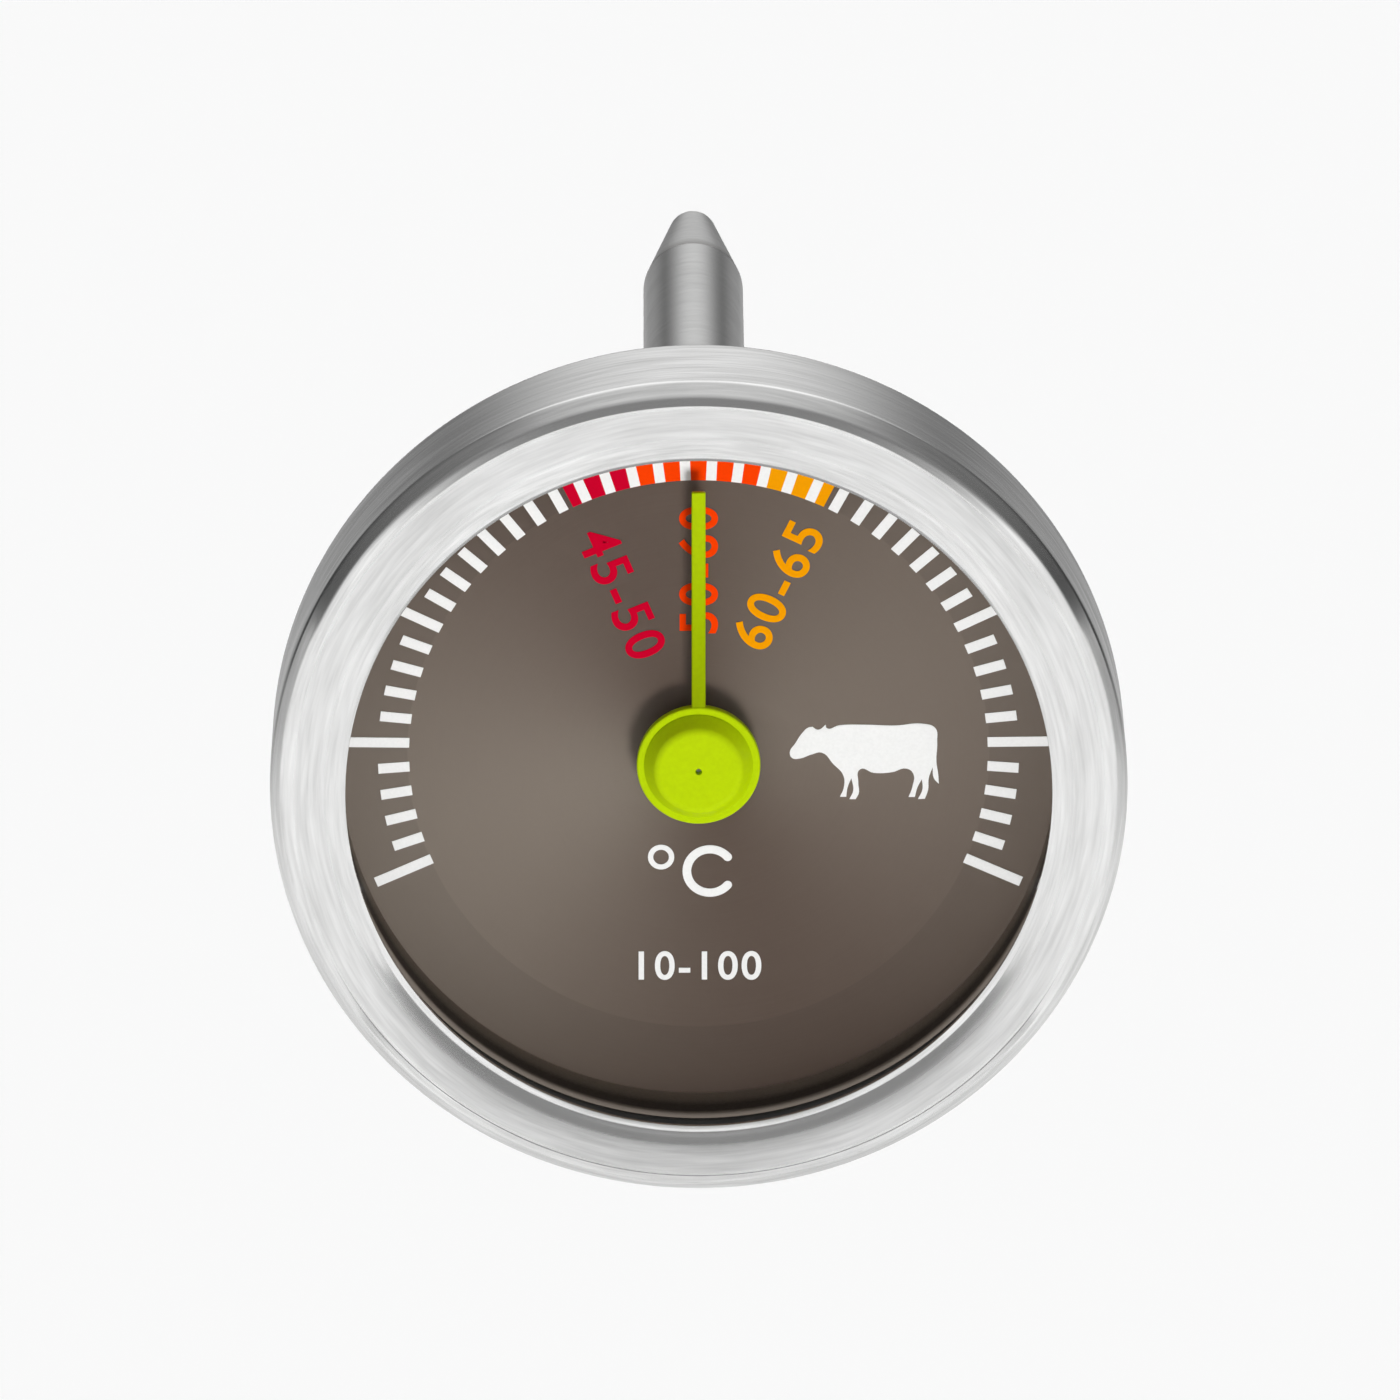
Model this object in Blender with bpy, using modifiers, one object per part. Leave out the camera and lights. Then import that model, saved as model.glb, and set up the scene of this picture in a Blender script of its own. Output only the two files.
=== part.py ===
# Dial meat thermometer: a shallow steel case with a pointed probe, a bimetal helix inside the
# probe, and a spindle that turns the pointer over a dished dial behind a glass.
# Metres, +Z up. The dial faces -Y, 12 o'clock is +Z, the probe runs along +Y.
# The origin is on the probe's axis, in the plane of the case's back.

import math

import bmesh
import bpy

MM = 0.001

# Clearances: pressed round fits, flat faces that lie on each other, and the turning spindle
PRESS_FIT = 0.02 * MM
FACE_GAP = 0.01 * MM
RUNNING_FIT = 0.05 * MM

# Case cup, with a drawn pocket in its back that houses the bush
CASE_RADIUS = 14.0 * MM
CASE_WALL = 0.4 * MM
CASE_FLOOR = 0.3 * MM
CASE_DEPTH = 3.79 * MM
CASE_BACK_ROUND = 0.15 * MM
POCKET_RADIUS = 5.0 * MM
POCKET_DEPTH = 0.9 * MM
POCKET_ROUND = 0.2 * MM

# Bezel ring: rounded shoulder, flat band, raised lip, and a skirt pressed into the case
BEZEL_ROUND = 0.7 * MM
BEZEL_BAND = 0.6 * MM
LIP_RADIUS = 11.52 * MM
LIP_RISE = 0.26 * MM
LIP_ROUND = 0.1 * MM
SKIRT_WALL = 0.6 * MM
SKIRT_TO_FLOOR = 1.3 * MM

# Lens, its gasket, and the dark spacer ring between them and the dial
LENS_SETBACK = 0.8 * MM
LENS_THICKNESS = 0.8 * MM
LENS_CHAMFER = 0.12 * MM
GASKET_THICKNESS = 0.3 * MM
GASKET_WIDTH = 1.07 * MM
SPACER_WALL = 1.19 * MM

# Dial plate on its adhesive pad
PAD_THICKNESS = 0.1 * MM
PAD_BORE_RADIUS = 5.4 * MM
DIAL_THICKNESS = 0.15 * MM
DIAL_FLAT_RADIUS = 9.56 * MM
DIAL_RISE = 0.3 * MM
DIAL_HOLE_RADIUS = 1.0 * MM

# Pointer, its boss and its collet
POINTER_CLEARANCE = 0.81 * MM
POINTER_DISC_RADIUS = 2.03 * MM
POINTER_DISC_THICKNESS = 0.35 * MM
POINTER_LENGTH = 9.44 * MM
ARM_WIDTH = 0.46 * MM
ARM_THICKNESS = 0.2 * MM
ARM_SETBACK = 0.06 * MM
BOSS_BASE_RADIUS = 1.8 * MM
BOSS_TOP_RADIUS = 1.4 * MM
BOSS_HEIGHT = 0.58 * MM
BOSS_COVER = 0.3 * MM
PINHOLE_RADIUS = 0.1 * MM
COLLET_WALL = 0.3 * MM
COLLET_FLANGE_WIDTH = 0.3 * MM
COLLET_FLANGE_THICKNESS = 0.25 * MM

# Probe: tube, pointed tip, and the bush that carries the tube in the case
STEM_RADIUS = 1.785 * MM
STEM_WALL = 0.25 * MM
STEM_LENGTH = 48.89 * MM
TIP_LENGTH = 7.4 * MM
NOSE_RADIUS = 0.87 * MM
TIP_SPIGOT = 4.0 * MM
BUSH_WALL = 0.5 * MM
BUSH_FLANGE_WIDTH = 1.1 * MM
BUSH_FLANGE_THICKNESS = 0.42 * MM
BUSH_TAIL = 0.7 * MM
SEAL_WIDTH = 1.25 * MM
SEAL_THICKNESS = 0.3 * MM
LOCK_RING_WIDTH = 1.0 * MM
LOCK_RING_HEIGHT = 1.0 * MM
EDGE_CHAMFER = 0.15 * MM

# Movement in the tube: spindle, two guides, helix, and what holds the helix's ends
SPINDLE_RADIUS = 0.35 * MM
GUIDE_HEIGHT = 2.0 * MM
GUIDE_INSET = 0.3 * MM
GUIDE_TO_HEAD = 1.6 * MM
HEAD_HEIGHT = 1.4 * MM
HEAD_WALL = 0.8 * MM
HELIX_TURNS = 14
HELIX_PITCH = 1.0 * MM
HELIX_WIRE_RADIUS = 0.14 * MM
HELIX_END_GAP = 0.15 * MM
HELIX_POINTS_PER_TURN = 10
ANCHOR_HEIGHT = 0.7 * MM

# Steps of a full turn: large rings and pieces on the probe; steps of an arc: large and small rounds
RING_STEPS = 64
SHAFT_STEPS = 32
ARC_STEPS = 6
SMALL_ARC_STEPS = 2

# Places along the probe's axis, measured from the case's back: the dial side is negative
floor_front = -CASE_FLOOR
pad_front = floor_front - FACE_GAP - PAD_THICKNESS
dial_back = pad_front - FACE_GAP
dial_front = dial_back - DIAL_THICKNESS
dial_rim_front = dial_front - DIAL_RISE
disc_back = dial_front - POINTER_CLEARANCE
disc_front = disc_back - POINTER_DISC_THICKNESS
boss_back = disc_front - FACE_GAP
boss_front = disc_front - BOSS_HEIGHT
spindle_front = boss_front + BOSS_COVER
bezel_shoulder = -CASE_DEPTH - FACE_GAP
bezel_front = bezel_shoulder - BEZEL_ROUND
lip_front = bezel_front - LIP_RISE
lens_front = lip_front + LENS_SETBACK
lens_back = lens_front + LENS_THICKNESS
gasket_front = lens_back + FACE_GAP
gasket_back = gasket_front + GASKET_THICKNESS
spacer_front = gasket_back + FACE_GAP
spacer_back = dial_rim_front - FACE_GAP
pocket_floor = POCKET_DEPTH - CASE_FLOOR
flange_back = pocket_floor - FACE_GAP
flange_front = flange_back - BUSH_FLANGE_THICKNESS
seal_front = POCKET_DEPTH + FACE_GAP
seal_back = seal_front + SEAL_THICKNESS
lock_front = seal_back + FACE_GAP
lock_back = lock_front + LOCK_RING_HEIGHT
bush_end = lock_back + BUSH_TAIL
tip_shoulder = STEM_LENGTH + FACE_GAP
spigot_front = STEM_LENGTH - TIP_SPIGOT
anchor_back = spigot_front - FACE_GAP
anchor_front = anchor_back - ANCHOR_HEIGHT
helix_back = anchor_front - HELIX_END_GAP - HELIX_WIRE_RADIUS
helix_front = helix_back - HELIX_TURNS * HELIX_PITCH
head_back = helix_front - HELIX_WIRE_RADIUS - HELIX_END_GAP
head_front = head_back - HEAD_HEIGHT
lower_guide_back = head_front - GUIDE_TO_HEAD
upper_guide_front = flange_front + GUIDE_INSET

# Radii that follow from what a piece fits in or over
case_bore = CASE_RADIUS - CASE_WALL
skirt_radius = case_bore - PRESS_FIT
skirt_bore = skirt_radius - SKIRT_WALL
seated_radius = skirt_bore - PRESS_FIT
pocket_bore = POCKET_RADIUS - CASE_FLOOR
stem_bore = STEM_RADIUS - STEM_WALL
in_stem_radius = stem_bore - PRESS_FIT
bush_bore = STEM_RADIUS + PRESS_FIT
bush_radius = bush_bore + BUSH_WALL
on_bush_bore = bush_radius + PRESS_FIT
on_spindle_bore = SPINDLE_RADIUS + PRESS_FIT
guide_bore = SPINDLE_RADIUS + RUNNING_FIT
collet_radius = on_spindle_bore + COLLET_WALL
helix_radius = (SPINDLE_RADIUS + stem_bore) / 2


def clear_scene():
    for obj in list(bpy.data.objects):
        bpy.data.objects.remove(obj, do_unlink=True)


def collection(name):
    made = bpy.data.collections.new(name)
    bpy.context.scene.collection.children.link(made)
    return made


def empty(name, parent=None):
    """An empty on the probe's axis, whose own Z runs along the world's +Y, from the dial to the tip."""
    made = bpy.data.objects.new(name, None)
    made.empty_display_size = CASE_RADIUS
    parts.objects.link(made)
    if parent is None:
        made.rotation_euler = (-math.pi / 2, 0, 0)
    else:
        made.parent = parent
    return made


def material(name, colour, roughness, metallic=0.0, transmission=0.0):
    made = bpy.data.materials.new(name)
    made.use_nodes = True
    shader = made.node_tree.nodes["Principled BSDF"]
    shader.inputs["Base Color"].default_value = (*colour, 1)
    shader.inputs["Roughness"].default_value = roughness
    shader.inputs["Metallic"].default_value = metallic
    shader.inputs["Transmission Weight"].default_value = transmission
    return made


def arc(radius, z, size, start, end, steps=ARC_STEPS):
    """Profile points round (radius, z) between two angles in degrees: 0 points outwards, 90 to the tip."""
    angles = [math.radians(start + (end - start) * i / steps) for i in range(steps + 1)]
    return [(radius + size * math.cos(a), z + size * math.sin(a)) for a in angles]


def turned(name, profile, finish, steps, parent, ring=True):
    """A turned piece: (radius, place on the axis) points, from the tip side down the outer side."""
    mesh = bpy.data.meshes.new(name)
    points = [(radius, 0, z) for radius, z in profile]
    edges = [(i, i + 1) for i in range(len(points) - 1)]
    if ring:
        edges.append((len(points) - 1, 0))
    mesh.from_pydata(points, edges, [])
    made = bpy.data.objects.new(name, mesh)
    parts.objects.link(made)
    made.parent = parent
    made.data.materials.append(finish)
    screw = made.modifiers.new("Turn", "SCREW")
    screw.axis = "Z"
    screw.steps = steps
    screw.render_steps = steps
    screw.use_merge_vertices = True
    screw.merge_threshold = 0.001 * MM
    screw.use_smooth_shade = True
    return made


def sleeve(name, bore, radius, front, back, finish, steps, parent, chamfer=0.0):
    """A plain turned ring; the outer corners can be chamfered."""
    profile = [(radius - chamfer, back), (radius, back - chamfer)] if chamfer else [(radius, back)]
    profile += [(radius, front + chamfer), (radius - chamfer, front)] if chamfer else [(radius, front)]
    profile += [(bore, front), (bore, back)]
    return turned(name, profile, finish, steps, parent)


def case_cup():
    back_round = CASE_BACK_ROUND
    profile = [(on_bush_bore, POCKET_DEPTH)]
    profile += arc(POCKET_RADIUS - POCKET_ROUND, POCKET_DEPTH - POCKET_ROUND, POCKET_ROUND, 90, 0,
                   SMALL_ARC_STEPS)
    profile += [(POCKET_RADIUS, 0)]
    profile += arc(CASE_RADIUS - back_round, -back_round, back_round, 90, 0, SMALL_ARC_STEPS)
    profile += [(CASE_RADIUS, -CASE_DEPTH), (case_bore, -CASE_DEPTH), (case_bore, floor_front)]
    profile += [(pocket_bore, floor_front), (pocket_bore, pocket_floor), (on_bush_bore, pocket_floor)]
    turned("case_cup", profile, steel, RING_STEPS, axis)


def bezel_ring():
    skirt_end = floor_front - SKIRT_TO_FLOOR
    band_radius = CASE_RADIUS - BEZEL_ROUND - BEZEL_BAND
    ledge = lens_front - FACE_GAP
    profile = [(skirt_radius, skirt_end), (skirt_radius, bezel_shoulder)]
    profile += arc(CASE_RADIUS - BEZEL_ROUND, bezel_shoulder, BEZEL_ROUND, 0, -90)
    profile += [(band_radius, bezel_front)]
    profile += arc(LIP_RADIUS + LIP_ROUND, lip_front + LIP_ROUND, LIP_ROUND, -90, -180, SMALL_ARC_STEPS)
    profile += [(LIP_RADIUS, ledge), (skirt_bore, ledge), (skirt_bore, skirt_end)]
    turned("bezel_ring", profile, steel, RING_STEPS, axis)


def lens():
    profile = [(0, lens_back), (seated_radius - LENS_CHAMFER, lens_back)]
    profile += [(seated_radius, lens_back - LENS_CHAMFER), (seated_radius, lens_front + LENS_CHAMFER)]
    profile += [(seated_radius - LENS_CHAMFER, lens_front), (0, lens_front)]
    turned("lens", profile, glass, RING_STEPS, axis, ring=False)


def dial_stack():
    sleeve("lens_gasket", seated_radius - GASKET_WIDTH, seated_radius, gasket_front, gasket_back,
           rubber, RING_STEPS, axis)
    sleeve("spacer_ring", seated_radius - SPACER_WALL, seated_radius, spacer_front, spacer_back,
           taupe_plastic, RING_STEPS, axis)
    profile = [(DIAL_FLAT_RADIUS, dial_back), (seated_radius, dial_back - DIAL_RISE)]
    profile += [(seated_radius, dial_rim_front), (DIAL_FLAT_RADIUS, dial_front)]
    profile += [(DIAL_HOLE_RADIUS, dial_front), (DIAL_HOLE_RADIUS, dial_back)]
    turned("dial_plate", profile, dial_paint, RING_STEPS, axis)
    sleeve("dial_pad", PAD_BORE_RADIUS, DIAL_FLAT_RADIUS, pad_front, floor_front - FACE_GAP,
           rubber, RING_STEPS, axis)


def probe():
    sleeve("stem_tube", stem_bore, STEM_RADIUS, flange_front, STEM_LENGTH, steel, SHAFT_STEPS, axis)
    nose_place = tip_shoulder + TIP_LENGTH - NOSE_RADIUS
    reach = nose_place - tip_shoulder
    span = math.hypot(STEM_RADIUS, reach)
    cone_angle = math.acos(NOSE_RADIUS / span) - math.atan2(reach, STEM_RADIUS)
    profile = arc(0, nose_place, NOSE_RADIUS, 90, math.degrees(cone_angle))
    profile[0] = (0, tip_shoulder + TIP_LENGTH)
    profile += [(STEM_RADIUS, tip_shoulder), (in_stem_radius, tip_shoulder)]
    profile += [(in_stem_radius, spigot_front), (0, spigot_front)]
    turned("probe_tip", profile, steel, SHAFT_STEPS, axis, ring=False)


def stem_mounting():
    profile = [(bush_radius - EDGE_CHAMFER, bush_end), (bush_radius, bush_end - EDGE_CHAMFER)]
    profile += [(bush_radius, flange_back), (bush_radius + BUSH_FLANGE_WIDTH, flange_back)]
    profile += [(bush_radius + BUSH_FLANGE_WIDTH, flange_front), (bush_bore, flange_front)]
    profile += [(bush_bore, bush_end)]
    turned("stem_bush", profile, steel, SHAFT_STEPS, axis)
    sleeve("back_seal", on_bush_bore, bush_radius + SEAL_WIDTH, seal_front, seal_back,
           rubber, SHAFT_STEPS, axis)
    sleeve("lock_ring", on_bush_bore, bush_radius + LOCK_RING_WIDTH, lock_front, lock_back,
           steel, SHAFT_STEPS, axis, EDGE_CHAMFER)


def fixed_movement():
    sleeve("spindle_guide_upper", guide_bore, in_stem_radius, upper_guide_front,
           upper_guide_front + GUIDE_HEIGHT, brass, SHAFT_STEPS, axis)
    sleeve("spindle_guide_lower", guide_bore, in_stem_radius, lower_guide_back - GUIDE_HEIGHT,
           lower_guide_back, brass, SHAFT_STEPS, axis)
    profile = [(0, anchor_back), (in_stem_radius, anchor_back)]
    profile += [(in_stem_radius, anchor_front), (0, anchor_front)]
    turned("helix_anchor", profile, brass, SHAFT_STEPS, axis, ring=False)


def bimetal_helix():
    """The sensing helix: one round-wound strand, with its turns worked out from the pitch."""
    count = HELIX_TURNS * HELIX_POINTS_PER_TURN
    points = []
    for i in range(count + 1):
        angle = 2 * math.pi * i / HELIX_POINTS_PER_TURN
        place = helix_front + HELIX_TURNS * HELIX_PITCH * i / count
        points.append((helix_radius * math.cos(angle), helix_radius * math.sin(angle), place))
    apart = [math.dist(points[i], points[j]) for i in range(count)
             for j in range(i + HELIX_POINTS_PER_TURN // 2, count + 1)]
    print(f"bimetal_helix: least gap to itself {(min(apart) - 2 * HELIX_WIRE_RADIUS) / MM:.2f} mm")
    curve = bpy.data.curves.new("bimetal_helix", "CURVE")
    curve.dimensions = "3D"
    curve.bevel_depth = HELIX_WIRE_RADIUS
    curve.bevel_resolution = 1
    curve.use_fill_caps = True
    strand = curve.splines.new("POLY")
    strand.points.add(count)
    for point, place in zip(strand.points, points):
        point.co = (*place, 1)
    made = bpy.data.objects.new("bimetal_helix", curve)
    parts.objects.link(made)
    made.parent = axis
    curve.materials.append(bimetal)


def pointer():
    disc = [(collet_radius + PRESS_FIT, disc_back), (POINTER_DISC_RADIUS, disc_back)]
    disc += [(POINTER_DISC_RADIUS, disc_front), (collet_radius + PRESS_FIT, disc_front)]
    hand = turned("pointer_hand", disc, lime_paint, SHAFT_STEPS, pointer_axis)
    arm_root = collet_radius + PRESS_FIT + ARM_WIDTH / 2
    arm_mesh = bpy.data.meshes.new("arm")
    bm = bmesh.new()
    bmesh.ops.create_cube(bm, size=1)
    size = (ARM_WIDTH, POINTER_LENGTH - arm_root, ARM_THICKNESS)
    middle = (0, -(POINTER_LENGTH + arm_root) / 2, disc_front + ARM_SETBACK + ARM_THICKNESS / 2)
    bmesh.ops.scale(bm, vec=size, verts=bm.verts)
    bmesh.ops.translate(bm, vec=middle, verts=bm.verts)
    bm.to_mesh(arm_mesh)
    bm.free()
    arm = bpy.data.objects.new("arm", arm_mesh)
    cutters.objects.link(arm)
    arm.parent = pointer_axis
    arm.hide_render = True
    arm.display_type = "WIRE"
    join = hand.modifiers.new("Arm", "BOOLEAN")
    join.operation = "UNION"
    join.object = arm

    profile = [(BOSS_BASE_RADIUS, boss_back), (BOSS_TOP_RADIUS, boss_front)]
    profile += [(PINHOLE_RADIUS, boss_front), (PINHOLE_RADIUS, spindle_front - FACE_GAP)]
    profile += [(on_spindle_bore, spindle_front - FACE_GAP), (on_spindle_bore, boss_back)]
    turned("pointer_boss", profile, lime_paint, SHAFT_STEPS, pointer_axis)

    flange_front_place = disc_back + FACE_GAP
    flange_back_place = flange_front_place + COLLET_FLANGE_THICKNESS
    flange_radius = collet_radius + COLLET_FLANGE_WIDTH
    profile = [(flange_radius, flange_back_place), (flange_radius, flange_front_place)]
    profile += [(collet_radius, flange_front_place), (collet_radius, disc_front)]
    profile += [(on_spindle_bore, disc_front), (on_spindle_bore, flange_back_place)]
    turned("pointer_collet", profile, brass, SHAFT_STEPS, pointer_axis)


def spindle():
    profile = [(0, head_back), (SPINDLE_RADIUS, head_back)]
    profile += [(SPINDLE_RADIUS, spindle_front), (0, spindle_front)]
    turned("spindle", profile, steel, SHAFT_STEPS, pointer_axis, ring=False)
    sleeve("helix_head", on_spindle_bore, on_spindle_bore + HEAD_WALL, head_front, head_back,
           brass, SHAFT_STEPS, pointer_axis)


clear_scene()
parts = collection("dial_meat_thermometer")
cutters = collection("cutters")
axis = empty("probe_axis")
pointer_axis = empty("pointer_axis", axis)

steel = material("brushed_steel", (0.62, 0.62, 0.61), 0.3, metallic=1.0)
glass = material("clear_glass", (1.0, 1.0, 1.0), 0.02, transmission=1.0)
rubber = material("black_silicone", (0.02, 0.02, 0.02), 0.7)
taupe_plastic = material("taupe_plastic", (0.1, 0.08, 0.066), 0.5)
dial_paint = material("taupe_dial_paint", (0.15, 0.125, 0.108), 0.4, metallic=0.4)
lime_paint = material("lime_paint", (0.43, 0.61, 0.0), 0.4)
brass = material("brass", (0.72, 0.52, 0.22), 0.3, metallic=1.0)
bimetal = material("bimetal_strip", (0.55, 0.5, 0.44), 0.35, metallic=1.0)

case_cup()
bezel_ring()
lens()
dial_stack()
probe()
stem_mounting()
fixed_movement()
bimetal_helix()
pointer()
spindle()
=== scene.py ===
import math

import bmesh
import bpy
from mathutils import Matrix, Vector


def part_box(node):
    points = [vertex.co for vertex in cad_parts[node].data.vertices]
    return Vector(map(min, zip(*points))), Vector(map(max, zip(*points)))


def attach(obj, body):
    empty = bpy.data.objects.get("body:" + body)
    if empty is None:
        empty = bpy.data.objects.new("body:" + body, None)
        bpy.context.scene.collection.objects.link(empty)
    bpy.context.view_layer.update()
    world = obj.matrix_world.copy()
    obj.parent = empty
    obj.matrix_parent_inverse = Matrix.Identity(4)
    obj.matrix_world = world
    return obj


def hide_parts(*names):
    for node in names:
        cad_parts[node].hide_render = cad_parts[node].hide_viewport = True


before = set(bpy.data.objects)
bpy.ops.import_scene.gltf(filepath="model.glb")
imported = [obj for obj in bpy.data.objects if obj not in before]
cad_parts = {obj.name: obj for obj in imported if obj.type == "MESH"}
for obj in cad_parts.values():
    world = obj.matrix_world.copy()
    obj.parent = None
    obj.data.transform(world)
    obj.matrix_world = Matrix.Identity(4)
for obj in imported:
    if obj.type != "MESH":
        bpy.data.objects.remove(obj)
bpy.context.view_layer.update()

# Case cup: the shallow body, with a pocket drawn in its back for the probe's bush.
# Stainless steel sheet, deep drawn in one piece. Wall and back are brushed round the probe's axis.
MM = 0.001
case_low, case_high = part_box("case_cup")
CASE_RADIUS = case_high.x / MM
CASE_RIM = case_low.y / MM
POCKET_FACE = case_high.y / MM
CASE_WALL = 0.4
CASE_FLOOR = 0.3
CASE_BACK_ROUND = 0.15
CASE_RIM_ROUND = 0.01
CASE_FOOT_ROUND = 0.1
POCKET_RADIUS = 5.0
POCKET_ROUND = 0.25
POCKET_MOUTH_ROUND = 0.12
BUSH_HOLE_RADIUS = 2.325
EDGE = 0.05
STEEL_DARK = (0.58, 0.58, 0.575, 1)
STEEL_LIGHT = (0.97, 0.97, 0.965, 1)
NOISE_LOW = 0.3
NOISE_HIGH = 0.7
GRAIN_DARK_STOP = 0.3
GRAIN_LIGHT_STOP = 0.68
BROAD_SHARE = 0.45
DRIFT_SIZE = 6 * MM
HOLD = 0.03
WELD = 0.0002 * MM
SHARP_ANGLE = math.radians(35)


def rounded(corners, ring=True, steps=6):
    """A profile in mm from (radius, place, round) corners, with a short hold at both ends of each run."""
    outline = []
    for i, (radius, place, size) in enumerate(corners):
        corner = Vector((radius, place))
        end = not ring and i in (0, len(corners) - 1)
        if size == 0 or end:
            outline.append(corner)
            continue
        before = (Vector(corners[i - 1][:2]) - corner).normalized()
        after = (Vector(corners[(i + 1) % len(corners)][:2]) - corner).normalized()
        half = before.angle(after) / 2
        middle = corner + (before + after).normalized() * size / math.sin(half)
        start = corner + before * size / math.tan(half) - middle
        finish = corner + after * size / math.tan(half) - middle
        first = math.atan2(start.y, start.x)
        sweep = math.remainder(math.atan2(finish.y, finish.x) - first, 2 * math.pi)
        for step in range(steps + 1):
            angle = first + sweep * step / steps
            outline.append(middle + size * Vector((math.cos(angle), math.sin(angle))))
    held = []
    for here, after in zip(outline, outline[1:] + outline[:1]):
        held.append(here)
        run = after - here
        if run.length > 4 * HOLD and (ring or here is not outline[-1]):
            held += [here + HOLD * run.normalized(), after - HOLD * run.normalized()]
    return held


def smooth_piece(name, bm, finish):
    """A new object from a closed bmesh, smooth, with its crisp edges kept sharp."""
    bmesh.ops.remove_doubles(bm, verts=bm.verts, dist=WELD)
    bmesh.ops.recalc_face_normals(bm, faces=bm.faces)
    mesh = bpy.data.meshes.new(name)
    bm.to_mesh(mesh)
    bm.free()
    mesh.shade_smooth()
    mesh.set_sharp_from_angle(angle=SHARP_ANGLE)
    mesh.materials.append(finish)
    piece = bpy.data.objects.new(name, mesh)
    bpy.context.scene.collection.objects.link(piece)
    return piece


def turned(name, profile, finish, steps=256, ring=True):
    """A piece turned round the probe's axis from a profile in mm; a ring's profile is closed."""
    bm = bmesh.new()
    verts = [bm.verts.new((radius * MM, place * MM, 0)) for radius, place in profile]
    edges = [bm.edges.new(pair) for pair in zip(verts, verts[1:])]
    if ring:
        edges.append(bm.edges.new((verts[-1], verts[0])))
    bmesh.ops.spin(bm, geom=verts + edges, cent=(0, 0, 0), axis=(0, 1, 0), angle=2 * math.pi,
                   steps=steps, use_merge=True)
    return smooth_piece(name, bm, finish)


def carry(piece, body, slot, *nodes):
    """The piece rides on a body and stands for CAD nodes; its slot is not used."""
    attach(piece, body)
    if nodes:
        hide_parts(*nodes)


def material(name, **values):
    """A Principled material with values on the shader's own sockets; also its tree and shader."""
    made = bpy.data.materials.new(name)
    made.use_nodes = True
    shader = made.node_tree.nodes["Principled BSDF"]
    for socket, value in values.items():
        shader.inputs[socket.replace("_", " ")].default_value = value
    return made, made.node_tree, shader


def node(tree, kind, inputs=None, **settings):
    """A shader node with its settings and inputs; an input given as a socket is linked."""
    made = tree.nodes.new("ShaderNode" + kind)
    for name, value in settings.items():
        setattr(made, name, value)
    for name, value in (inputs or {}).items():
        if isinstance(value, bpy.types.NodeSocket):
            tree.links.new(value, made.inputs[name])
        else:
            made.inputs[name].default_value = value
    return made


def round_axis(tree):
    """The radius of a point about the probe's axis, and its direction from the axis."""
    place = node(tree, "TexCoord").outputs["Object"]
    flat = node(tree, "VectorMath", {0: place, 1: (1, 0, 1)}, operation="MULTIPLY").outputs[0]
    radius = node(tree, "VectorMath", {0: flat}, operation="LENGTH").outputs["Value"]
    direction = node(tree, "VectorMath", {0: flat}, operation="NORMALIZE").outputs[0]
    return place, radius, direction


def ring_grain(tree, length, width, wander=0.0):
    """Noise drawn out into streaks round the axis: length in degrees, width and side drift in mm."""
    place, radius, direction = round_axis(tree)
    turn = node(tree, "VectorMath", {0: direction, "Scale": math.degrees(1) / length}, operation="SCALE")
    drift = node(tree, "TexNoise", {"Vector": place, "Scale": 1 / DRIFT_SIZE, "Detail": 1.0}).outputs[0]
    drift = spread(tree, drift, 0, wander / width, 0, 1)
    axial = node(tree, "SeparateXYZ", {0: place}).outputs["Y"]
    across, along = (node(tree, "Math", {0: distance, 1: 1 / (width * MM), 2: drift},
                          operation="MULTIPLY_ADD").outputs[0] for distance in (radius, axial))
    across = node(tree, "CombineXYZ", {"Y": across}).outputs[0]
    where = node(tree, "VectorMath", {0: turn.outputs[0], 1: across}).outputs[0]
    noise = node(tree, "TexNoise", {"Vector": where, "W": along, "Scale": 1.0, "Detail": 2.0,
                                    "Roughness": 0.6}, noise_dimensions="4D")
    return noise.outputs[0]


def blend(tree, first, second, share):
    """A mix of two grey textures."""
    mix = node(tree, "Mix", {"Factor": share}, data_type="FLOAT")
    tree.links.new(first, mix.inputs[2])
    tree.links.new(second, mix.inputs[3])
    return mix.outputs[0]


def tones(tree, texture, *stops):
    """A colour ramp over a grey texture, from (position, colour) stops."""
    ramp = node(tree, "ValToRGB", {"Fac": texture})
    while len(ramp.color_ramp.elements) < len(stops):
        ramp.color_ramp.elements.new(0.5)
    for element, (position, colour) in zip(ramp.color_ramp.elements, stops):
        element.position = position
        element.color = colour
    return ramp.outputs["Color"]


def spread(tree, texture, low, high, start=NOISE_LOW, end=NOISE_HIGH):
    """A grey texture mapped from its usual range to values between low and high."""
    return node(tree, "MapRange", {"Value": texture, "From Min": start, "From Max": end,
                                   "To Min": low, "To Max": high}).outputs[0]


def relief(tree, shader, texture, height):
    """Bump on the shader from a grey texture, with its height in mm."""
    bump = node(tree, "Bump", {"Height": texture, "Strength": 1.0, "Distance": height * MM})
    tree.links.new(bump.outputs[0], shader.inputs["Normal"])


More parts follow.
